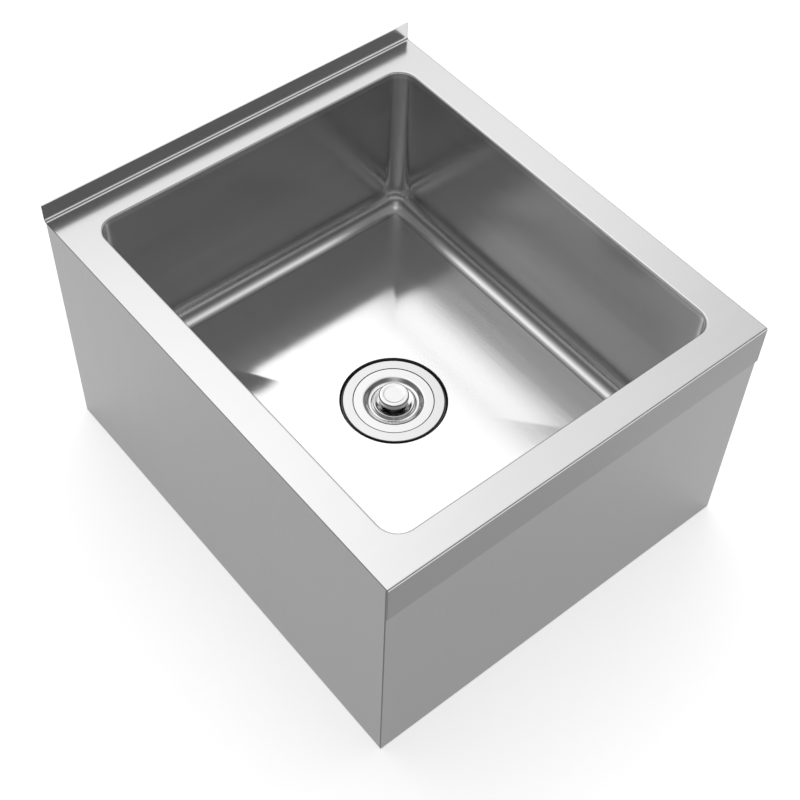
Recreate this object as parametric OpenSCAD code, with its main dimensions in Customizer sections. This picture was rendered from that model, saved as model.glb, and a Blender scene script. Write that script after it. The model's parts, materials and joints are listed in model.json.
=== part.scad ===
// Floor standing mop service sink: a deep coved bowl in a flat deck with a low
// backsplash, a skirt down to the floor, and a basket drain with a lid.
// X runs across the front, the front faces -Y, and Z is up from the floor.

/* [Overall] */
// Width across the front
sink_w = 483; // [440:1:640]
// Depth from the front to the wall
sink_d = 562; // [500:1:760]
// Height of the deck above the floor
deck_h = 314; // [306:1:420]
// Height of the backsplash above the deck
splash_h = 22; // [12:1:90]
// Thickness of the stainless sheet
sheet_t = 1.5; // [1:0.1:2]

/* [Deck] */
// Width of the deck on each side of the bowl
side_rim = 36.5; // [34:0.5:55]
// Width of the deck in front of the bowl
front_rim = 37; // [35:0.5:70]
// Width of the deck behind the bowl, backsplash included
back_rim = 37.5; // [35:0.5:70]
// Height of the flange that turns down at the front
front_flange_h = 50; // [25:1:75]
// Height of the lip that turns down into the bowl
lip_h = 8.5; // [6:0.5:14]
// Inside radius of the sheet's tight bends
bend_r = 1; // [0.5:0.1:2]
// Radius of the cove between the deck and the backsplash
splash_cove_r = 4; // [2:0.5:8]

/* [Bowl] */
// Depth of the bowl at the foot of its walls
bowl_depth = 204; // [150:1:208]
// Radius of the bowl's corners and of the cove at its floor
bowl_r = 22; // [14:0.5:34]
// How far the floor falls from its edges to its middle
floor_fall = 4; // [2:0.5:6]
// Ring of recessed floor that shows round the drain flange
recess_gap = 3.2; // [2.5:0.1:6]

/* [Skirt] */
// Width of the foot that turns in along the floor
foot_w = 15; // [8:0.5:22]
// Inside radius of the skirt's upright rear bends
skirt_bend_r = 2.5; // [1:0.5:6]
// Length of each leg of the corner gussets
gusset_leg = 22; // [14:0.5:26]
// Height of the corner gussets
gusset_h = 60; // [30:1:90]
// Length of a sound pad along the wall that it faces
pad_len = 150; // [60:1:180]
// Width of a sound pad
pad_w = 60; // [30:1:75]
// Thickness of a sound pad
pad_t = 3; // [1.5:0.5:5]

/* [Drain body] */
// Radius of the drain flange
flange_r = 57; // [55:0.5:64]
// Thickness of the drain flange
flange_t = 2; // [1.2:0.1:3]
// Depth of the step that the basket and the lid sit in
seat_depth = 5; // [4.5:0.1:8]
// Width of the ledge that carries the basket
ledge_w = 3; // [2:0.1:4]
// Height of the threaded neck
neck_h = 26; // [22:0.5:32]
// Depth of the cup below the flange
cup_depth = 46; // [44:0.5:52]
// Wall of the cup
cup_t = 2; // [1.4:0.1:2.5]
// Height of the threaded outlet below the cup
outlet_h = 22; // [18:0.5:24]
// Radius of the way through the outlet
outlet_r = 19; // [16:0.5:20]
// Wall of the outlet
outlet_t = 4.5; // [3:0.1:6]
// Height of the lock nut
nut_h = 10; // [7:0.5:14]
// Number of lugs on the lock nut
nut_lugs = 8; // [4:1:12]

/* [Tailpiece] */
// Outside radius of the tailpiece
tail_r = 19.05; // [16:0.05:20]
// Wall of the tailpiece
tail_t = 1.2; // [0.8:0.1:2]
// Length of the tailpiece
tail_len = 30; // [24:0.5:34]
// Radius of the coupling nut's corners
coupling_r = 31; // [29:0.5:35]

/* [Waste basket] */
// Depth of the basket below its rim
basket_depth = 34; // [24:0.5:36]
// Thickness of the basket's sheet
basket_t = 1; // [0.6:0.1:1.4]
// Radius at the basket's bottom edge
basket_edge_r = 6; // [3:0.5:9]
// Radius of the holes in the basket
basket_hole_r = 2.6; // [1:0.1:3]
// Number of holes in each row round the basket
basket_row_holes = 12; // [6:1:16]
// Number of rows of holes round the basket
basket_rows = 3; // [1:1:3]

/* [Lid] */
// Radius of the lid
lid_r = 45; // [44:0.1:45.5]
// Thickness of the lid's sheet
lid_t = 1.2; // [0.8:0.1:1.4]
// Depth of the finger well in the lid
well_depth = 4.2; // [2:0.1:5]
// Radius of the raised ring inside the finger well
ring_r = 25.8; // [22:0.1:28]
// Radius of the knob
knob_r = 17.3; // [12:0.1:20]
// Height of the knob above the drain flange
knob_top = 11; // [9:0.1:14]

/* [Hidden] */
$fn = 96;

// Clearances, of which contact is what parts two faces that touch
contact = 0.03;
seam = 0.2;
seat_gap = 0.1;
thread_gap = 0.25;
hole_gap = 1;
lid_gap = 0.6;
basket_gap = 0.8;
basket_wall_gap = 2;
screw_gap = 0.05;
overrun = 1;

// Bends, the opening and the bowl's floor
bend_out_r = bend_r + sheet_t;
front_y = -sink_d / 2;
rear_y = sink_d / 2;
open_w = sink_w - 2 * side_rim;
open_d = sink_d - front_rim - back_rim;
bowl_y = (front_rim - back_rim) / 2;
bowl_top = deck_h - lip_h - contact;
floor_z = deck_h - bowl_depth;
floor_half_w = open_w / 2 - bowl_r;
floor_half_d = open_d / 2 - bowl_r;

// The skirt stands just inside the deck's edges and under its sheet
edge_inset = 0.3;
skirt_w = sink_w - 2 * edge_inset;
skirt_top = deck_h - sheet_t - seam;
skirt_bend_out_r = skirt_bend_r + sheet_t;
panel_y = front_y + sheet_t + seam;
panel_back_y = panel_y + sheet_t;
wrap_front_y = panel_back_y + seam;

// Drain heights, from the floor's recess down to the tailpiece
recess_r = flange_r + recess_gap;
recess_taper = 1.5;
flange_drop = 0.5;
flange_bevel = 0.5;
seal_t = 1;
seal_inset = 1.5;
recess_top = floor_z - floor_fall * (1 - recess_r / floor_half_w);
flange_z = recess_top - flange_drop;
recess_z = flange_z - flange_t - seal_t;
clamp_z = recess_z - sheet_t;
gasket_t = 3;
friction_t = 1;
nut_z = clamp_z - gasket_t - friction_t;
cup_z = flange_z - cup_depth;
outlet_z = cup_z - cup_t - outlet_h;
ledge_z = flange_z - seat_depth;

// Drain radii, from the lid outwards and inwards
neck_t = 2;
seat_r = lid_r + lid_gap;
neck_r = seat_r + neck_t;
hole_r = neck_r + hole_gap;
cup_r = seat_r - ledge_w;
outlet_out_r = outlet_r + outlet_t;
clamp_r = flange_r - seal_inset;

// Threads, drawn as rings of grooves
thread_pitch = 2;
thread_depth = 0.8;
groove_share = 0.8;

// Lock nut lugs
nut_flange_t = 3;
nut_rim_w = 3.5;
lug_w = 10;
lug_inset = 0.8;

// Washer, tailpiece flange and coupling nut
washer_t = 2;
tail_flange_t = 1.5;
tail_collar_t = 0.4;
coupling_lip_t = 3;
coupling_grip = 14;
washer_z = outlet_z - washer_t;
tail_top = washer_z - contact;
coupling_z = tail_top - tail_flange_t - contact - coupling_lip_t;
tail_collar_r = tail_r + tail_collar_t;
tail_end = tail_top - tail_len;

// Waste basket
basket_rim_z = ledge_z + seat_gap;
basket_rim_top = basket_rim_z + basket_t;
basket_rim_r = seat_r - basket_gap;
basket_r = cup_r - basket_wall_gap;
basket_in_r = basket_r - basket_t;
basket_floor_z = basket_rim_z - basket_depth;
row_margin = 2.5;
row_span = basket_depth - basket_edge_r - 2 * (row_margin + basket_hole_r);
floor_ring_step = 11;
floor_rings = 2;

// Basket handle, a strip across the basket under the lid
handle_w = 8;
handle_t = 1;
handle_drop = 8;
handle_foot = 12;
handle_half = sqrt(pow(basket_in_r, 2) - pow(handle_w / 2, 2)) - seat_gap;

// Lid, its seal and its knob
lid_drop = 0.3;
lid_top = flange_z - lid_drop;
ring_drop = 0.5;
ring_top = lid_top - ring_drop;
ring_slope = 1.6;
well_floor_w = 2.2;
well_slope = 5.6;
well_z = lid_top - well_depth;
well_r = ring_r + ring_slope + well_floor_w + well_slope;
ring_w = 5;
middle_drop = 0.8;
middle_top = ring_top - middle_drop;
seal_w = 7;
lid_seal_z = basket_rim_top + seat_gap;
knob_neck_r = 11;
knob_head_t = 7;
knob_taper = 3;
knob_bevel = 1.2;
knob_dish = 0.6;
knob_z = flange_z + knob_top;
screw_r = 2;
screw_head_r = 4;
screw_head_t = 2;
screw_grip = 7;

// Section of a bent sheet: its outer corner is at the origin, its legs along +X and +Y
module bent_angle(leg_x, leg_y, t, r_in) {
    r_out = r_in + t;
    difference() {
        union() {
            square([leg_x, t]);
            square([t, leg_y]);
            square(r_out);
        }
        translate([r_out, r_out]) circle(r = r_in);
        difference() {
            translate([-overrun, -overrun]) square(r_out + overrun);
            translate([r_out, r_out]) circle(r = r_out);
        }
    }
}

// Ring of sheet or rubber that lies flat
module flat_ring(r_in, r_out, z, t) {
    translate([0, 0, z])
        linear_extrude(t)
            difference() {
                circle(r = r_out);
                circle(r = r_in);
            }
}

// Carries an upright profile, x outwards from the corner axis, round a rounded rectangle
module around_rounded(w, d, r) {
    for (turn = [0, 180])
        rotate(turn) {
            translate([r - w / 2, d / 2 - r, 0])
                rotate([90, 0, 90])
                    linear_extrude(w - 2 * r) children();
            translate([w / 2 - r, d / 2 - r, 0])
                rotate([90, 0, 0])
                    linear_extrude(d - 2 * r) children();
            translate([w / 2 - r, d / 2 - r, 0])
                rotate_extrude(angle = 90) children();
            translate([r - w / 2, d / 2 - r, 0])
                rotate(90)
                    rotate_extrude(angle = 90) children();
        }
}

// Rounded rectangle with true arcs at its corners
module rounded_rect(w, d, r) {
    square([w - 2 * r, d], center = true);
    square([w, d - 2 * r], center = true);
    for (x = [r - w / 2, w / 2 - r], y = [r - d / 2, d / 2 - r])
        translate([x, y]) circle(r = r);
}

// Solid of the bowl's inside or outside, coved at its floor
module tub(w, d, r, z_low, z_high) {
    around_rounded(w, d, r) {
        intersection() {
            translate([0, z_low + r]) circle(r = r);
            translate([0, z_low]) square(r);
        }
        translate([0, z_low + r]) square([r, z_high - z_low - r]);
    }
    translate([r - w / 2, r - d / 2, z_low])
        cube([w - 2 * r, d - 2 * r, z_high - z_low]);
}

// Shallow four sided fall of the floor, with its creases on the diagonals
module floor_wedge() {
    intersection() {
        translate([0, floor_half_d, 0])
            rotate([90, 0, 0])
                linear_extrude(2 * floor_half_d) fall_profile(floor_half_w);
        translate([-floor_half_w, 0, 0])
            rotate([90, 0, 90])
                linear_extrude(2 * floor_half_w) fall_profile(floor_half_d);
    }
}

module fall_profile(half) {
    polygon([
        [-half, floor_z],
        [0, floor_z - floor_fall],
        [half, floor_z],
        [half, floor_z + overrun],
        [-half, floor_z + overrun]
    ]);
}

// Section of the deck from front to back: flange, flat, cove and backsplash
module deck_profile() {
    translate([front_y, deck_h])
        mirror([0, 1]) bent_angle(sink_d / 2, front_flange_h, sheet_t, bend_r);
    translate([rear_y, deck_h - sheet_t])
        mirror([1, 0])
            bent_angle(sink_d / 2 + sheet_t, splash_h + sheet_t, sheet_t, splash_cove_r);
}

// Section of the lip round the opening, from the corner axis outwards
module lip_profile() {
    translate([bowl_r, deck_h])
        mirror([0, 1]) bent_angle(bend_out_r + sheet_t, lip_h, sheet_t, bend_r);
}

module deck() {
    color("gainsboro") {
        difference() {
            translate([-sink_w / 2, 0, 0])
                rotate([90, 0, 90])
                    linear_extrude(sink_w) deck_profile();
            translate([0, bowl_y, deck_h - sheet_t - overrun])
                linear_extrude(sheet_t + 2 * overrun)
                    rounded_rect(
                        open_w + 2 * bend_out_r,
                        open_d + 2 * bend_out_r,
                        bowl_r + bend_out_r
                    );
        }
        translate([0, bowl_y, 0])
            around_rounded(open_w, open_d, bowl_r) lip_profile();
    }
}

module bowl() {
    color("silver")
        translate([0, bowl_y, 0])
            difference() {
                union() {
                    tub(
                        open_w + 2 * sheet_t,
                        open_d + 2 * sheet_t,
                        bowl_r + sheet_t,
                        floor_z - sheet_t,
                        bowl_top
                    );
                    translate([0, 0, -sheet_t]) floor_wedge();
                    translate([0, 0, clamp_z])
                        cylinder(r = recess_r + sheet_t, h = recess_top - sheet_t / 2 - clamp_z);
                }
                tub(open_w, open_d, bowl_r, floor_z, bowl_top + overrun);
                floor_wedge();
                translate([0, 0, recess_z])
                    cylinder(r1 = recess_r - recess_taper, r2 = recess_r, h = recess_top - recess_z);
                translate([0, 0, recess_top])
                    cylinder(r = recess_r, h = floor_z - recess_top);
                translate([0, 0, clamp_z - overrun])
                    cylinder(r = hole_r, h = recess_z - clamp_z + 2 * overrun);
            }
}

module front_panel() {
    foot_half = skirt_w / 2 - sheet_t - seam;
    color("darkgray") {
        translate([-skirt_w / 2, panel_y, 0])
            cube([skirt_w, sheet_t, skirt_top - bend_r]);
        translate([-foot_half, panel_y, 0])
            cube([2 * foot_half, foot_w, sheet_t]);
    }
}

// Plan of the skirt's two sides and back, bent from one sheet
module wrap_plan() {
    for (side = [0, 1])
        mirror([side, 0])
            translate([skirt_w / 2, rear_y])
                rotate(180)
                    bent_angle(
                        skirt_w / 2 + sheet_t,
                        rear_y - wrap_front_y,
                        sheet_t,
                        skirt_bend_r
                    );
}

module skirt_wrap() {
    foot_front_y = panel_y + foot_w + seam;
    color("darkgray") {
        linear_extrude(skirt_top) wrap_plan();
        for (side = [0, 1])
            mirror([side, 0, 0])
                translate([skirt_w / 2 - foot_w, foot_front_y, 0])
                    cube([foot_w, rear_y - skirt_bend_out_r - foot_front_y, sheet_t]);
        translate([skirt_bend_out_r - skirt_w / 2, rear_y - foot_w, 0])
            cube([skirt_w - 2 * skirt_bend_out_r, foot_w, sheet_t]);
    }
}

module corner_gussets() {
    corner_x = skirt_w / 2 - sheet_t - seam;
    color("dimgray")
        for (side = [0, 1])
            mirror([side, 0, 0])
                translate([-corner_x, 0, skirt_top - gusset_h]) {
                    translate([0, panel_back_y + seam, 0])
                        linear_extrude(gusset_h)
                            bent_angle(gusset_leg, gusset_leg, sheet_t, skirt_bend_r);
                    translate([0, rear_y - sheet_t - seam, 0])
                        mirror([0, 1, 0])
                            linear_extrude(gusset_h)
                            bent_angle(gusset_leg, gusset_leg, sheet_t, skirt_bend_r);
                }
}

// Four pads glued under the floor, between the drain and each wall
module sound_pads() {
    pad_x = (clamp_r + floor_half_w) / 2;
    pad_y = (clamp_r + floor_half_d) / 2;
    color("black")
        translate([0, bowl_y, 0])
            intersection() {
                difference() {
                    translate([0, 0, -sheet_t - pad_t]) floor_wedge();
                    translate([0, 0, -sheet_t - contact]) floor_wedge();
                }
                translate([0, 0, clamp_z - pad_t - floor_fall])
                    linear_extrude(floor_z - clamp_z + pad_t + floor_fall) {
                        for (x = [-pad_x, pad_x])
                            translate([x, 0]) square([pad_w, pad_len], center = true);
                        for (y = [-pad_y, pad_y])
                            translate([0, y]) square([pad_len, pad_w], center = true);
                    }
            }
}

// Grooves of a thread that runs down from z_high, on a wall of radius r
module thread_grooves(r, z_low, z_high) {
    mouth = thread_pitch * groove_share;
    for (z = [z_low + thread_pitch / 2 : thread_pitch : z_high - thread_pitch / 2])
        polygon([
            [r - thread_depth, z],
            [r + thread_depth, z - mouth],
            [r + thread_depth, z + mouth]
        ]);
}

module drain_body() {
    flange_low = flange_z - flange_t;
    outline = [
        [seat_r, flange_z],
        [flange_r - flange_bevel, flange_z],
        [flange_r, flange_z - flange_bevel],
        [flange_r, flange_low + flange_bevel],
        [flange_r - flange_bevel, flange_low],
        [neck_r, flange_low],
        [neck_r, flange_z - neck_h],
        [cup_r + cup_t, flange_z - neck_h],
        [cup_r + cup_t, cup_z - cup_t],
        [outlet_out_r, cup_z - cup_t],
        [outlet_out_r, outlet_z],
        [outlet_r, outlet_z],
        [outlet_r, cup_z],
        [cup_r, cup_z],
        [cup_r, ledge_z],
        [seat_r, ledge_z]
    ];
    color("lightgray")
        translate([0, bowl_y, 0])
            rotate_extrude()
                difference() {
                    polygon(outline);
                    thread_grooves(neck_r, flange_z - neck_h, nut_z);
                    thread_grooves(outlet_out_r, outlet_z, outlet_z + coupling_grip);
                }
}

module flange_seal() {
    color("white")
        translate([0, bowl_y, 0])
            flat_ring(hole_r, clamp_r, recess_z + contact, seal_t - 2 * contact);
}

module clamp_gasket() {
    color("black")
        translate([0, bowl_y, 0])
            flat_ring(neck_r + thread_gap, clamp_r, clamp_z - gasket_t, gasket_t - contact);
}

module friction_ring() {
    color("burlywood")
        translate([0, bowl_y, 0])
            flat_ring(neck_r + thread_gap, clamp_r, nut_z, friction_t - contact);
}

module lock_nut() {
    nut_bore_r = neck_r + thread_gap;
    nut_low = nut_z - contact - nut_h;
    color("goldenrod")
        translate([0, bowl_y, 0]) {
            flat_ring(nut_bore_r, clamp_r, nut_low + nut_h - nut_flange_t, nut_flange_t);
            translate([0, 0, nut_low])
                linear_extrude(nut_h - nut_flange_t)
                    difference() {
                        union() {
                            circle(r = clamp_r - nut_rim_w);
                            for (i = [0 : nut_lugs - 1])
                                rotate(i * 360 / nut_lugs)
                                    translate([0, -lug_w / 2])
                                        square([clamp_r - lug_inset, lug_w]);
                        }
                        circle(r = nut_bore_r);
                    }
        }
}

module tailpiece() {
    tail_in_r = tail_r - tail_t;
    flange_low = tail_top - tail_flange_t;
    color("silver")
        translate([0, bowl_y, 0])
            rotate_extrude()
                polygon([
                    [tail_in_r, tail_end],
                    [tail_r, tail_end],
                    [tail_r, coupling_z],
                    [tail_collar_r, coupling_z],
                    [tail_collar_r, flange_low],
                    [outlet_out_r, flange_low],
                    [outlet_out_r, tail_top],
                    [tail_in_r, tail_top]
                ]);
}

module tailpiece_washer() {
    color("white")
        translate([0, bowl_y, 0])
            flat_ring(outlet_r, outlet_out_r, washer_z, washer_t - contact);
}

module coupling_nut() {
    color("goldenrod")
        translate([0, bowl_y, coupling_z])
            difference() {
                cylinder(
                    r = coupling_r,
                    h = outlet_z + coupling_grip - coupling_z,
                    $fn = 6
                );
                translate([0, 0, -overrun])
                    cylinder(r = tail_collar_r + thread_gap, h = coupling_lip_t + 2 * overrun);
                translate([0, 0, coupling_lip_t])
                    cylinder(
                        r = outlet_out_r + thread_gap,
                        h = outlet_z + coupling_grip - coupling_z
                    );
            }
}

// Section of the basket's sheet: floor, round edge, wall and rim
module basket_profile() {
    translate([basket_r, basket_floor_z])
        mirror([1, 0])
            bent_angle(
                basket_r,
                basket_depth + basket_t / 2,
                basket_t,
                basket_edge_r - basket_t
            );
    translate([basket_in_r, basket_rim_z])
        square([basket_rim_r - basket_in_r, basket_t]);
}

module waste_basket() {
    rows_low = basket_floor_z + basket_edge_r + row_margin + basket_hole_r;
    row_step = basket_rows > 1 ? row_span / (basket_rows - 1) : 0;
    hole_turn = 360 / basket_row_holes;
    color("silver")
        translate([0, bowl_y, 0])
            difference() {
                rotate_extrude() basket_profile();
                for (row = [0 : basket_rows - 1], i = [0 : basket_row_holes - 1])
                    rotate((i + (row % 2) / 2) * hole_turn)
                        translate([basket_in_r - overrun, 0, rows_low + row * row_step])
                            rotate([0, 90, 0])
                                cylinder(r = basket_hole_r, h = basket_t + 2 * overrun);
                translate([0, 0, basket_floor_z - overrun])
                    linear_extrude(basket_t + 2 * overrun) {
                        circle(r = basket_hole_r);
                        for (ring = [1 : floor_rings], i = [0 : 6 * ring - 1])
                            rotate(i * 60 / ring)
                                translate([ring * floor_ring_step, 0])
                                    circle(r = basket_hole_r);
                    }
            }
}

module basket_handle() {
    handle_z = basket_rim_top - handle_drop;
    color("silver")
        translate([0, bowl_y, 0]) {
            translate([-handle_half, -handle_w / 2, handle_z])
                cube([2 * handle_half, handle_w, handle_t]);
            for (side = [0, 1])
                mirror([side, 0, 0])
                    translate([handle_half - handle_t, -handle_w / 2, handle_z - handle_foot])
                        cube([handle_t, handle_w, handle_foot]);
        }
}

module drain_lid() {
    slope_in = ring_r + ring_slope;
    slope_out = slope_in + well_floor_w;
    ring_in = ring_r - ring_w;
    outline = [
        [screw_r + screw_gap, middle_top],
        [ring_in - ring_slope, middle_top],
        [ring_in, ring_top],
        [ring_r, ring_top],
        [slope_in, well_z],
        [slope_out, well_z],
        [well_r, lid_top],
        [lid_r, lid_top]
    ];
    low = [for (i = [len(outline) - 1 : -1 : 0]) outline[i] - [0, lid_t]];
    color("lightgray")
        translate([0, bowl_y, 0])
            rotate_extrude() polygon(concat(outline, low));
}

module lid_seal() {
    seal_out_r = lid_r - lid_gap;
    seal_top = lid_top - lid_t - contact;
    color("black")
        translate([0, bowl_y, 0])
            flat_ring(seal_out_r - seal_w, seal_out_r, lid_seal_z, seal_top - lid_seal_z);
}

module lid_knob() {
    foot_z = middle_top + contact;
    head_z = knob_z - knob_head_t;
    bore_top = middle_top + screw_grip + screw_gap;
    outline = [
        [screw_r + screw_gap, foot_z],
        [knob_neck_r, foot_z],
        [knob_neck_r, head_z],
        [knob_r - knob_taper, head_z],
        [knob_r, knob_z - knob_bevel],
        [knob_r - knob_bevel, knob_z],
        [knob_r - 2 * knob_bevel, knob_z],
        [knob_r - 3 * knob_bevel, knob_z - knob_dish],
        [0, knob_z - knob_dish],
        [0, bore_top],
        [screw_r + screw_gap, bore_top]
    ];
    color("whitesmoke")
        translate([0, bowl_y, 0])
            rotate_extrude() polygon(outline);
}

module knob_screw() {
    head_top = middle_top - lid_t - contact;
    color("silver")
        translate([0, bowl_y, 0]) {
            translate([0, 0, head_top])
                cylinder(r = screw_r, h = lid_t + contact + screw_grip);
            translate([0, 0, head_top - screw_head_t])
                cylinder(r = screw_head_r, h = screw_head_t);
        }
}

deck();
bowl();
front_panel();
skirt_wrap();
corner_gussets();
sound_pads();
drain_body();
flange_seal();
clamp_gasket();
friction_ring();
lock_nut();
tailpiece();
tailpiece_washer();
coupling_nut();
waste_basket();
basket_handle();
drain_lid();
lid_seal();
lid_knob();
knob_screw();
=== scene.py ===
"""Looks of a floor standing mop service sink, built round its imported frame."""
import json
import math

import bpy
from mathutils import Matrix, Vector


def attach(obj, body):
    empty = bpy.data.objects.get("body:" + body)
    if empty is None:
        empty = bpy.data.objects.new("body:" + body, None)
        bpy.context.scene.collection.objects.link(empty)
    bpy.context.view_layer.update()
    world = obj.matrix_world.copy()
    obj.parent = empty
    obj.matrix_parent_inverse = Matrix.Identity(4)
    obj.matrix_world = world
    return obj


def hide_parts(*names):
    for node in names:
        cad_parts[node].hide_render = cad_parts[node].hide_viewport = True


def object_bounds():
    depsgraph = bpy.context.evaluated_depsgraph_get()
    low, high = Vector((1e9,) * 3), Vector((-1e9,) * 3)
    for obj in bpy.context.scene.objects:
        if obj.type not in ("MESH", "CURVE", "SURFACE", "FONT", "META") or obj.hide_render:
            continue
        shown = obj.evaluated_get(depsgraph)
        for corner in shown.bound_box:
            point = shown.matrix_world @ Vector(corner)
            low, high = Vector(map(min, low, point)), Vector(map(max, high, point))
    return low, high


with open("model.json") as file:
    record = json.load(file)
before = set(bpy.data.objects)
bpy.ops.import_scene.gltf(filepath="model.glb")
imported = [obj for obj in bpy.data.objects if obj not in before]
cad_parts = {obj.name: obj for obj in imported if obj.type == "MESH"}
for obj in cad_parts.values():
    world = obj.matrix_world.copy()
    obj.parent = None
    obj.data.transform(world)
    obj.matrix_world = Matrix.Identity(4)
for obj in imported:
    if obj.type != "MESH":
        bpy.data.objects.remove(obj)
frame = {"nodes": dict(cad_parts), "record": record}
cad_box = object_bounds()

MM = 0.001

# Camera: place in metres, angles in degrees, lens and sensor in millimetres
CAMERA_PLACE = Vector((-0.6839, -0.7890, 1.4452))
CAMERA_AZIMUTH = 41.31
CAMERA_ELEVATION = 52.03
CAMERA_ROLL = -2.54
CAMERA_LENS = 68.49
CAMERA_SENSOR = 36
CAMERA_REACH = 50

# Studio sky: soft boxes as azimuth from +Y to +X, elevation, spread and level
SKY_BOXES = [
    (8, 60, 20, 1.6),
    (48, 40, 18, 0.9),
    (95, 63, 14, 1.05),
    (0, 90, 16, 0.8),
    (140, 63, 12, 0.15),
    (225, 60, 14, 0.5),
    (315, 60, 14, 0.12),
]
# Level of the dim room and of its low part, and the heights of a direction where it changes
SKY_BASE = 0.14
SKY_LOW = 0.5
SKY_LOW_FROM = 0.1
SKY_LOW_TO = 0.5
# Heights between which the white backdrop round the horizon fades out
BACKDROP_FROM = 0.3
BACKDROP_TO = 0.5
WHITE = (1, 1, 1, 1)

# Pale ground under the sink: colour, glow and half its side in metres
GROUND_COLOUR = (0.95, 0.95, 0.95, 1)
GROUND_GLOW = 0.6
GROUND_HALF = 6.0

# Steels: grey, roughness and the axes along which their grain runs; all are one stainless steel,
# and some greys are set lower or higher as painted shade and light
STEELS = {
    "deck": (0.69, 0.21, "X"),
    "bowl": (0.62, 0.15, "X"),
    # The walls' grey is set below the floor's as painted shade
    "wall": (0.58, 0.19, "XY"),
    "cove": (0.66, 0.24, "XY"),
    # The floor's grey is set higher as painted light
    "floor": (0.93, 0.185, "Y"),
    # The recess's near-black grey is painted shade in the ring round the drain
    "recess": (0.10, 0.45, ""),
    # The skirt's low grey is painted shade: the same steel as the deck, darkened
    "skirt": (0.275, 0.26, "Z"),
    "drain": (0.68, 0.18, ""),
    "lid": (0.72, 0.15, ""),
    "knob": (0.72, 0.14, ""),
}
# Other materials: colour, roughness and metallic share
OTHERS = {
    "tail_chrome": ((0.82, 0.82, 0.83), 0.12, 1.0),
    "nut_brass": ((0.72, 0.58, 0.32), 0.35, 1.0),
    "black_rubber": ((0.03, 0.03, 0.03), 0.7, 0.0),
    "seal_white": ((0.80, 0.79, 0.75), 0.6, 0.0),
    "fibre": ((0.45, 0.33, 0.20), 0.7, 0.0),
}

# The part of a noise's range that is used, and the height of a bump at full strength
NOISE_LOW = 0.3
NOISE_HIGH = 0.7
BUMP_HEIGHT = 0.2 * MM

# Streaks of the steels: how far they carry roughness and tint, their scales and their bump
STREAK_ROUGH = 0.02
STREAK_TINT = 0.02
STREAK_DETAIL = 3.0
FINE_SCALE = 900.0
FINE_ALONG = 12.0
BROAD_SCALE = 60.0
BROAD_ALONG = 3.0
STREAK_BUMP = 0.02
# Direction along which the bowl's floor smears what it mirrors
FLOOR_SMEAR = Vector((1, -0.22, 0)).normalized()

# Mottling of the other materials: how far it carries roughness and tint, scale and bump
MOTTLE_ROUGH = 0.06
MOTTLE_TINT = 0.1
MOTTLE_DETAIL = 4.0
MOTTLE_SCALE = 400.0
MOTTLE_BUMP = 0.2

# Painted shade on darker places: the share of the tint that each keeps, and the limits that it
# lies within
# Painted shadow line on the sheet's cut edges at the seams
EDGE_PAINTED_SHADE = 0.15
EDGE_STRIP = 0.6 * MM
# Painted shade on the deck's front flange and on the backsplash's rear face
FLANGE_PAINTED_SHADE = 0.3
FLANGE_ZONE = 10 * MM
FLANGE_FADE = 1 * MM
REAR_PAINTED_SHADE = 0.55
FACE_FROM = 0.9
FACE_FULL = 0.99
# Painted shade in the narrow gap round the lid
SEAM_PAINTED_SHADE = 0.1
SEAM_R = 45.3 * MM
SEAM_HALF = 0.65 * MM
SEAM_FADE = 0.13 * MM
# Painted shade on the knob's turned side
SIDE_PAINTED_SHADE = 0.3
SIDE_FROM = 0.75
SIDE_FULL = 0.45

# Bowl, in metres, with its reach taken from its node in the frame
SHEET = 1.5 * MM
# Radius of corners and coves, and what is left of it in the corners of the floor
BOWL_R = 22 * MM
FOOT_R = 0.6 * MM
# The floor's fall to the drain, then the recess with its sloped wall, and the drain's hole
FLOOR_FALL = 4 * MM
RECESS_R = 60.9 * MM
RECESS_TAPER = 2.2 * MM
RECESS_DROP = 3.5 * MM
HOLE_R = 48.6 * MM
# Distance of the ring of points that holds an edge crisp
HOLD = 1.0 * MM
# How sharp the floor's creases are, and the shares of the way out between which it falls
CREASE_POWER = 60
PRESS_FROM = 0.78
PRESS_TO = 0.40
# Steps of the mesh, and the faces of one loop from the recess's wall to below its hole
WALL_STEPS = 3
CORNER_STEPS = 12
SIDE_STEPS = 18
COVE_STEPS = 14
FLOOR_STEPS = 20
RECESS_FACES = 6
# Places of the bowl's finishes in its list of materials; the recess's finish is painted shade
WALL, FLOOR, RECESS, COVE = range(4)
# Signs of X and Y in each quarter, anticlockwise from above
QUARTERS = [(1, 1), (-1, 1), (-1, -1), (1, -1)]

# Lid and knob: outline knots as radius and height in millimetres from the top
LID_SHEET = 1.2
LID_KNOTS = [
    (45, 0), (34.8, 0), (27.6, -3.8), (26.0, -3.8), (22.6, -0.5), (17.6, -1.3), (2.05, -1.3),
]
KNOB_R = 17.0
KNOB_EDGE = 1.6
KNOB_LIP_R = 12.8
KNOB_DISH = 0.3
KNOB_DISH_R = 10.6
KNOB_HEAD = 8.4
KNOB_TAPER = 0.6
KNOB_NECK_R = 11
KNOB_FILLET = 1.2
KNOB_BORE_R = 2.05
KNOB_BORE_DEPTH = 5.5
# Direction, in degrees from level, in which the knob's rounded edge ends
KNOB_EDGE_END = -20
# Steps of the mesh round the axis, between two knots, over the knob's dish and round an arc
LATHE_STEPS = 128
KNOT_STEPS = 10
DISH_STEPS = 3
ARC_STEPS = 8

# Edges that turn more than this stay sharp
SHARP = math.radians(35)


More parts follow.
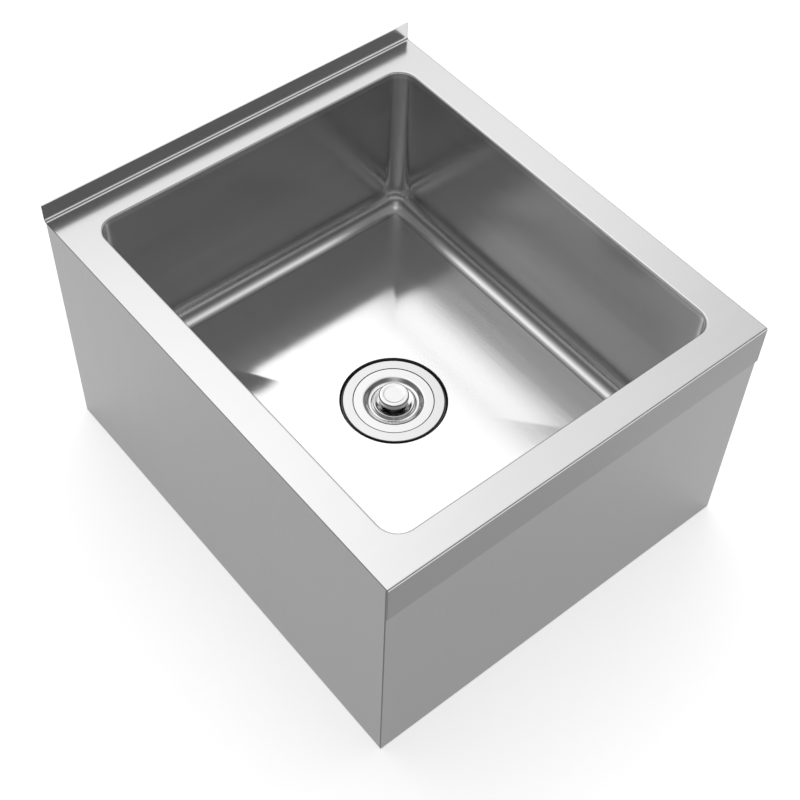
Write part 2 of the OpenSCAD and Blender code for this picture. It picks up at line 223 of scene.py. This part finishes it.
class Tree:
    """Short hand for adding and linking the nodes of one material or world."""

    def __init__(self, owner, output):
        owner.use_nodes = True
        self.tree = owner.node_tree
        self.tree.nodes.clear()
        self.output = self.node(output)

    def node(self, kind, links=(), **values):
        """Adds a node with its settings, and links or sets its inputs."""
        made = self.tree.nodes.new("ShaderNode" + kind)
        for key, value in values.items():
            setattr(made, key, value)
        for name, source in dict(links).items():
            if isinstance(source, bpy.types.NodeSocket):
                self.tree.links.new(source, made.inputs[name])
            else:
                made.inputs[name].default_value = source
        return made

    def math(self, operation, first, second=0.0):
        return self.node("Math", {0: first, 1: second}, operation=operation).outputs[0]

    def remap(self, value, low, high, to_low, to_high):
        """Carries a value from one range to another, held at both ends."""
        ends = {"From Min": low, "From Max": high, "To Min": to_low, "To Max": to_high}
        return self.node("MapRange", {"Value": value, **ends}).outputs[0]

    def varied(self, noise, middle, spread):
        """A value that a noise carries up and down by a spread."""
        return self.remap(noise, NOISE_LOW, NOISE_HIGH, middle - spread, middle + spread)

    def place(self):
        """The object's own places, in metres."""
        return self.node("TexCoord").outputs["Object"]

    def normal(self):
        return self.node("TexCoord").outputs["Normal"]

    def axis(self, name, vector):
        return self.node("SeparateXYZ", {0: vector}).outputs[name]

    def noise(self, scale, detail):
        """Noise over the object's own places, scaled along each axis."""
        stretched = self.node("Mapping", {"Vector": self.place(), "Scale": scale}).outputs[0]
        values = {"Vector": stretched, "Scale": 1.0, "Detail": detail}
        return self.node("TexNoise", values).outputs[0]

    def tinted(self, colour, tint):
        return self.node("VectorMath", {0: colour, "Scale": tint}, operation="SCALE").outputs[0]

    def bump(self, height, strength):
        values = {"Strength": strength, "Distance": BUMP_HEIGHT, "Height": height}
        return self.node("Bump", values).outputs[0]

    def seen(self):
        """1 where the camera, metal or glass looks, and 0 where light is gathered."""
        path = self.node("LightPath").outputs
        seen = self.math("MAXIMUM", path["Is Camera Ray"], path["Is Glossy Ray"])
        return self.math("MAXIMUM", seen, path["Is Transmission Ray"])

    def finish(self, shader):
        self.tree.links.new(shader, self.output.inputs["Surface"])


def masked(t, tint, share, masks):
    """Darkens a tint to a share of itself where all the masks are 1."""
    amount = 1 - share
    for mask in masks:
        amount = t.math("MULTIPLY", amount, mask)
    return t.math("MULTIPLY", tint, t.math("SUBTRACT", 1.0, amount))


def cut_edge_painted_shade(t, tint):
    """Darkens the cut edges at both ends of the sheet as a painted shadow line along the seams."""
    half_w = cad_box[1][0]
    out = t.math("ABSOLUTE", t.axis("X", t.place()))
    edge = t.remap(out, half_w - EDGE_STRIP, half_w - EDGE_STRIP / 2, 0.0, 1.0)
    return masked(t, tint, EDGE_PAINTED_SHADE, [edge])


def deck_painted_shade(t, tint):
    """Paints shade on the front flange, the backsplash's rear face and the sheet's cut edges by
    darkening their tint.
    """
    facing = t.axis("Y", t.normal())
    ahead = t.remap(facing, -FACE_FULL, -FACE_FROM, 1.0, 0.0)
    behind = t.remap(facing, FACE_FROM, FACE_FULL, 0.0, 1.0)
    flange_y = cad_box[0][1] + FLANGE_ZONE
    front = t.remap(t.axis("Y", t.place()), flange_y - FLANGE_FADE, flange_y, 1.0, 0.0)
    tint = masked(t, tint, FLANGE_PAINTED_SHADE, [ahead, front])
    return cut_edge_painted_shade(t, masked(t, tint, REAR_PAINTED_SHADE, [behind]))


def seam_painted_shade(t, tint):
    """Darkens the narrow gap round the lid as painted shade."""
    level = t.node("VectorMath", {0: t.place(), 1: (1, 1, 0)}, operation="MULTIPLY").outputs[0]
    radius = t.node("VectorMath", {0: level}, operation="LENGTH").outputs["Value"]
    away = t.math("ABSOLUTE", t.math("SUBTRACT", radius, SEAM_R))
    near = t.remap(away, SEAM_HALF - SEAM_FADE, SEAM_HALF, 1.0, 0.0)
    return masked(t, tint, SEAM_PAINTED_SHADE, [near])


def knob_side_painted_shade(t, tint):
    """Darkens the knob's turned side against its top as painted shade."""
    up = t.math("ABSOLUTE", t.axis("Z", t.normal()))
    return masked(t, tint, SIDE_PAINTED_SHADE, [t.remap(up, SIDE_FULL, SIDE_FROM, 1.0, 0.0)])


def streak_scale(scale, along_scale, grain):
    """Scales of a noise along X, Y and Z, which draw it out along the grain."""
    return [along_scale if axis in grain else scale for axis in "XYZ"]


def steel(name, finish, smear=None, shade=None):
    """Stainless sheet with streaks of tint, roughness and fine bump along its grain."""
    grey, roughness, grain = STEELS[finish]
    material = bpy.data.materials.new(name)
    t = Tree(material, "OutputMaterial")
    fine = t.noise(streak_scale(FINE_SCALE, FINE_ALONG, grain), STREAK_DETAIL)
    broad = t.noise(streak_scale(BROAD_SCALE, BROAD_ALONG, grain), STREAK_DETAIL)
    both = t.node("Mix", {"Factor": 0.5, "A": fine, "B": broad}).outputs[0]
    tint = t.varied(both, 1, STREAK_TINT)
    if shade:
        tint = shade(t, tint)
    values = {
        "Base Color": t.tinted([grey] * 3, tint),
        "Metallic": 1.0,
        "Roughness": t.varied(both, roughness, STREAK_ROUGH),
        "Normal": t.bump(fine, STREAK_BUMP),
    }
    if smear:
        values["Anisotropic"] = 1.0
        values["Tangent"] = t.node("CombineXYZ", dict(zip("XYZ", smear))).outputs[0]
    t.finish(t.node("BsdfPrincipled", values).outputs[0])
    return material


def mottled(name):
    """Rubber, plastic, fibre, brass or chrome with a mottled colour and roughness."""
    colour, roughness, metallic = OTHERS[name]
    material = bpy.data.materials.new(name)
    t = Tree(material, "OutputMaterial")
    mottle = t.noise([MOTTLE_SCALE] * 3, MOTTLE_DETAIL)
    values = {
        "Base Color": t.tinted(colour, t.varied(mottle, 1, MOTTLE_TINT)),
        "Metallic": metallic,
        "Roughness": t.varied(mottle, roughness, MOTTLE_ROUGH),
        "Normal": t.bump(mottle, MOTTLE_BUMP),
    }
    t.finish(t.node("BsdfPrincipled", values).outputs[0])
    return material


def dress_nodes():
    """Gives each node the material of its slot, and the front panel its own, with painted shade on
    its cut edges.
    """
    finishes = {
        "deck_steel": steel("deck_steel", "deck", shade=deck_painted_shade),
        "bowl_steel": steel("bowl_steel", "bowl"),
        "skirt_steel": steel("skirt_steel", "skirt"),
        # The drain's seat carries painted shade in the gap round the lid
        "drain_steel": steel("drain_steel", "drain", shade=seam_painted_shade),
        "lid_steel": steel("lid_steel", "lid"),
        **{name: mottled(name) for name in OTHERS},
    }
    for row in frame["record"]["subparts"]:
        node = frame["nodes"][row["node"]]
        node.data.materials.clear()
        node.data.materials.append(finishes[row["material_slot"]])
    panel_steel = steel("panel_steel", "skirt", shade=cut_edge_painted_shade)
    frame["nodes"]["front_panel"].data.materials[0] = panel_steel


def reach(node):
    """Lowest and highest corner of a node as the frame places it."""
    corners = [node.matrix_world @ Vector(c) for c in node.bound_box]
    low = Vector([min(c[i] for c in corners) for i in range(3)])
    high = Vector([max(c[i] for c in corners) for i in range(3)])
    return low, high


def add_piece(name, points, faces, looks, finishes, body, node):
    """Adds a smooth closed mesh that stands in for a node."""
    mesh = bpy.data.meshes.new(name)
    mesh.from_pydata(points, [], faces)
    for finish in finishes:
        mesh.materials.append(finish)
    mesh.polygons.foreach_set("material_index", looks)
    mesh.polygons.foreach_set("use_smooth", [True] * len(faces))
    mesh.set_sharp_from_angle(angle=SHARP)
    piece = bpy.data.objects.new(name, mesh)
    bpy.context.scene.collection.objects.link(piece)
    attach(piece, body)
    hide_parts(node)


def smooth(share):
    """A share from 0 to 1, eased to level ends."""
    return share * share * (3 - 2 * share)


def round_stations():
    """Places round the bowl: quarter, turn of the wall and share of the side that follows."""
    stations = []
    for quarter in range(4):
        start = quarter * math.pi / 2
        for k in range(CORNER_STEPS):
            stations.append((quarter, start + math.pi / 2 * k / CORNER_STEPS, 0))
        for k in range(SIDE_STEPS):
            stations.append((quarter, start + math.pi / 2, k / SIDE_STEPS))
    return stations


class BowlShape:
    """Reach of the bowl and the places on its inner and outer skin."""

    def __init__(self, node):
        low, high = reach(node)
        self.middle = (low + high) / 2
        self.flat_w = (high.x - low.x) / 2 - SHEET - BOWL_R
        self.flat_d = (high.y - low.y) / 2 - SHEET - BOWL_R
        self.top = high.z
        self.recess_z = low.z + SHEET
        self.recess_top = self.recess_z + RECESS_DROP
        self.floor_z = self.recess_top + FLOOR_FALL * (1 - RECESS_R / self.flat_w)

    def wall_place(self, station, inward):
        """Plan place of a station that lies so far inside the bowl's wall."""
        quarter, turn, share = station
        sx, sy = QUARTERS[quarter]
        tx, ty = QUARTERS[(quarter + 1) % 4]
        radius = BOWL_R - inward
        x = sx * self.flat_w + radius * math.cos(turn) + share * (tx - sx) * self.flat_w
        y = sy * self.flat_d + radius * math.sin(turn) + share * (ty - sy) * self.flat_d
        return x, y

    def fall(self, x, y):
        """Height of the floor, pressed down to the drain with creases on its diagonals."""
        across = abs(x) / self.flat_w
        along = abs(y) / self.flat_d
        norm = (across**CREASE_POWER + along**CREASE_POWER) ** (1 / CREASE_POWER)
        share = min(max((PRESS_FROM - norm) / (PRESS_FROM - PRESS_TO), 0), 1)
        return self.floor_z - (self.floor_z - self.recess_top) * smooth(share)

    def heading(self, station):
        """Direction from the drain to a station, as a unit pair."""
        x, y = self.wall_place(station, 0)
        away = math.hypot(x, y)
        return x / away, y / away

    def skin(self, station, offset):
        """Points down the wall, round the cove and along the floor to the recess."""
        cove = BOWL_R - FOOT_R + offset
        foot = self.floor_z + BOWL_R - FOOT_R
        rise = self.top - foot
        steps = [rise * k / WALL_STEPS for k in range(1, WALL_STEPS)]
        depths = [0, HOLD, *steps, rise - HOLD]
        points = [(*self.wall_place(station, -offset), self.top - depth) for depth in depths]
        for k in range(COVE_STEPS + 1):
            turn = math.pi / 2 * k / COVE_STEPS
            inward = cove * (1 - math.cos(turn)) - offset
            points.append((*self.wall_place(station, inward), foot - cove * math.sin(turn)))
        foot_x, foot_y = self.wall_place(station, BOWL_R - FOOT_R)
        east, north = self.heading(station)
        away = math.hypot(foot_x, foot_y) - RECESS_R
        shares = [k / FLOOR_STEPS for k in range(1, FLOOR_STEPS)]
        for share in [HOLD / away, *shares, 1 - HOLD / away, 1]:
            x = foot_x + share * (RECESS_R * east - foot_x)
            y = foot_y + share * (RECESS_R * north - foot_y)
            points.append((x, y, self.fall(x, y) - offset))
        return points

    def profile(self, station):
        """Closed loop of one station: inner skin, recess and hole, then the outer skin."""
        inner = self.skin(station, 0)
        outer = self.skin(station, SHEET)
        east, north = self.heading(station)
        under = self.recess_z - SHEET
        recess = [
            (RECESS_R - RECESS_TAPER, self.recess_z),
            (RECESS_R - RECESS_TAPER - HOLD, self.recess_z),
            (HOLE_R + HOLD, self.recess_z),
            (HOLE_R, self.recess_z),
            (HOLE_R, under),
            (HOLE_R + HOLD, under),
            (RECESS_R, under),
        ]
        middle = [(radius * east, radius * north, z) for radius, z in recess]
        loop = inner + middle + outer[::-1]
        return [(x + self.middle.x, y + self.middle.y, z) for x, y, z in loop]


def bowl_looks(size):
    """Finish of each face of one loop, from the rim down, with a strip at the cove's foot."""
    runs = [
        (WALL, WALL_STEPS + 2),
        (COVE, COVE_STEPS),
        (WALL, 1),
        (FLOOR, FLOOR_STEPS + 1),
        (RECESS, RECESS_FACES),
    ]
    looks = [look for look, count in runs for _ in range(count)]
    return looks + [WALL] * (size - len(looks))


def loops_to_faces(count, size):
    """Faces between closed loops of points that follow one another in a ring."""
    faces = []
    for i in range(count):
        j = (i + 1) % count
        for k in range(size):
            n = (k + 1) % size
            faces.append((i * size + k, i * size + n, j * size + n, j * size + k))
    return faces


def make_bowl():
    """The bowl as one closed shell, with its floor's grain and its recess darkened as painted
    shade.
    """
    finishes = [
        steel("bowl_wall_steel", "wall"),
        steel("bowl_floor_steel", "floor", smear=FLOOR_SMEAR),
        steel("bowl_recess_painted_shade_steel", "recess"),
        steel("bowl_cove_steel", "cove"),
    ]
    shape = BowlShape(frame["nodes"]["bowl"])
    loops = [shape.profile(station) for station in round_stations()]
    size = len(loops[0])
    points = [point for loop in loops for point in loop]
    faces = loops_to_faces(len(loops), size)
    looks = bowl_looks(size) * len(loops)
    add_piece("bowl_shell", points, faces, looks, finishes, "sink", "bowl")


def lathe(outline, middle, closed):
    """Turns an outline of radius and height round the drain's axis."""
    points, rings = [], []
    for radius, z in outline:
        count = LATHE_STEPS if radius else 1
        rings.append(range(len(points), len(points) + count))
        for k in range(count):
            turn = 2 * math.pi * k / LATHE_STEPS
            x = middle.x + radius * math.cos(turn)
            y = middle.y + radius * math.sin(turn)
            points.append((x, y, z))
    pairs = list(zip(rings, rings[1:]))
    if closed:
        pairs.append((rings[-1], rings[0]))
    faces = []
    for low, high in pairs:
        for k in range(LATHE_STEPS):
            n = (k + 1) % LATHE_STEPS
            ring = [low[k % len(low)], low[n % len(low)], high[n % len(high)], high[k % len(high)]]
            faces.append(tuple(dict.fromkeys(ring)))
    return points, faces


def eased(knots, steps):
    """Curve through knots with level ends at each, as pressed sheet runs."""
    curve = []
    for (r0, z0), (r1, z1) in zip(knots, knots[1:]):
        for k in range(steps):
            share = k / steps
            curve.append((r0 + share * (r1 - r0), z0 + smooth(share) * (z1 - z0)))
    return curve + [knots[-1]]


def arc(middle_r, middle_z, radius, start, end):
    """Points on an arc, with angles in degrees from outwards to up."""
    points = []
    for k in range(ARC_STEPS + 1):
        turn = math.radians(start + (end - start) * k / ARC_STEPS)
        points.append((middle_r + radius * math.cos(turn), middle_z + radius * math.sin(turn)))
    return points


def placed(outline, top):
    """An outline in millimetres, carried to metres and hung from its top."""
    return [(radius * MM, top + z * MM) for radius, z in outline]


def make_lid():
    """Pressed lid with its finger well, raised ring and dished middle."""
    low, high = reach(frame["nodes"]["drain_lid"])
    upper = eased(LID_KNOTS, KNOT_STEPS)
    lower = [(radius, z - LID_SHEET) for radius, z in reversed(upper)]
    points, faces = lathe(placed(upper + lower, high.z), (low + high) / 2, True)
    looks = [0] * len(faces)
    # The lid's edge carries painted shade at the gap round it
    finishes = [steel("lid_painted_seam_shade_steel", "lid", shade=seam_painted_shade)]
    add_piece("lid_shell", points, faces, looks, finishes, "lid", "drain_lid")


def make_knob():
    """Turned knob with a dished top, a rounded edge and a slightly tapered head."""
    low, high = reach(frame["nodes"]["lid_knob"])
    foot = (low.z - high.z) / MM
    dish = eased([(0, -KNOB_DISH), (KNOB_DISH_R, -KNOB_DISH)], DISH_STEPS)[:-1]
    dish += eased([(KNOB_DISH_R, -KNOB_DISH), (KNOB_LIP_R, 0)], KNOT_STEPS)
    edge = arc(KNOB_R - KNOB_EDGE, -KNOB_EDGE, KNOB_EDGE, 90, KNOB_EDGE_END)
    under_r = KNOB_R - KNOB_TAPER - KNOB_FILLET
    under = arc(under_r, KNOB_FILLET - KNOB_HEAD, KNOB_FILLET, KNOB_EDGE_END, -90)
    neck = [
        (KNOB_NECK_R + HOLD / MM, -KNOB_HEAD),
        (KNOB_NECK_R, -KNOB_HEAD),
        (KNOB_NECK_R, foot),
        (KNOB_BORE_R, foot),
        (KNOB_BORE_R, -KNOB_BORE_DEPTH),
        (0, -KNOB_BORE_DEPTH),
    ]
    outline = placed(dish + edge + under + neck, high.z)
    points, faces = lathe(outline, (low + high) / 2, False)
    looks = [0] * len(faces)
    finishes = [steel("knob_steel", "knob", shade=knob_side_painted_shade)]
    add_piece("knob_shell", points, faces, looks, finishes, "lid", "lid_knob")


def make_ground():
    """A pale floor that keeps the sink's shadow and shows nearly white."""
    mesh = bpy.data.meshes.new("floor")
    corners = [(sx * GROUND_HALF, sy * GROUND_HALF, 0) for sx, sy in QUARTERS]
    mesh.from_pydata(corners, [], [(0, 1, 2, 3)])
    floor = bpy.data.objects.new("floor", mesh)
    bpy.context.scene.collection.objects.link(floor)
    material = bpy.data.materials.new("pale_floor")
    t = Tree(material, "OutputMaterial")
    lit = t.node("BsdfDiffuse", {"Color": GROUND_COLOUR}).outputs[0]
    strength = t.math("MULTIPLY", t.seen(), GROUND_GLOW)
    glow = t.node("Emission", {"Strength": strength}).outputs[0]
    t.finish(t.node("AddShader", {0: lit, 1: glow}).outputs[0])
    mesh.materials.append(material)


def aim(azimuth, elevation):
    """Direction with this azimuth from +Y to +X and this elevation, both in degrees."""
    turn, rise = math.radians(azimuth), math.radians(elevation)
    level = math.cos(rise)
    return Vector((math.sin(turn) * level, math.cos(turn) * level, math.sin(rise)))


def make_sky():
    """Wide soft boxes in a dim room, with a white backdrop round the horizon."""
    world = bpy.data.worlds.new("studio")
    bpy.context.scene.world = world
    t = Tree(world, "OutputWorld")
    direction = t.node("TexCoord").outputs["Generated"]
    height = t.axis("Z", direction)
    level = t.remap(height, SKY_LOW_FROM, SKY_LOW_TO, SKY_LOW, SKY_BASE)
    for azimuth, elevation, spread, bright in SKY_BOXES:
        towards = {0: direction, 1: aim(azimuth, elevation)}
        near = t.node("VectorMath", towards, operation="DOT_PRODUCT").outputs["Value"]
        narrow = 1 / (1 - math.cos(math.radians(spread)))
        fade = t.math("EXPONENT", t.math("MULTIPLY", t.math("SUBTRACT", near, 1.0), narrow))
        level = t.math("ADD", t.math("MULTIPLY", fade, bright), level)
    backdrop = t.remap(height, BACKDROP_FROM, BACKDROP_TO, 1.0, 0.0)
    level = t.math("MAXIMUM", level, t.math("MULTIPLY", backdrop, t.seen()))
    t.finish(t.node("Background", {"Color": WHITE, "Strength": level}).outputs[0])


def make_camera():
    """The photograph's camera."""
    forward = aim(CAMERA_AZIMUTH, -CAMERA_ELEVATION)
    level = forward.cross(Vector((0, 0, 1))).normalized()
    right = Matrix.Rotation(math.radians(CAMERA_ROLL), 3, forward) @ level
    turn = Matrix((right, right.cross(forward), -forward)).transposed()
    data = bpy.data.cameras.new("camera")
    data.lens = CAMERA_LENS
    data.sensor_width = CAMERA_SENSOR
    data.clip_end = CAMERA_REACH
    camera = bpy.data.objects.new("camera", data)
    camera.matrix_world = Matrix.Translation(CAMERA_PLACE) @ turn.to_4x4()
    bpy.context.scene.collection.objects.link(camera)
    bpy.context.scene.camera = camera


dress_nodes()
make_bowl()
make_lid()
make_knob()
make_ground()
make_sky()
make_camera()
bpy.context.scene.view_settings.view_transform = "Standard"
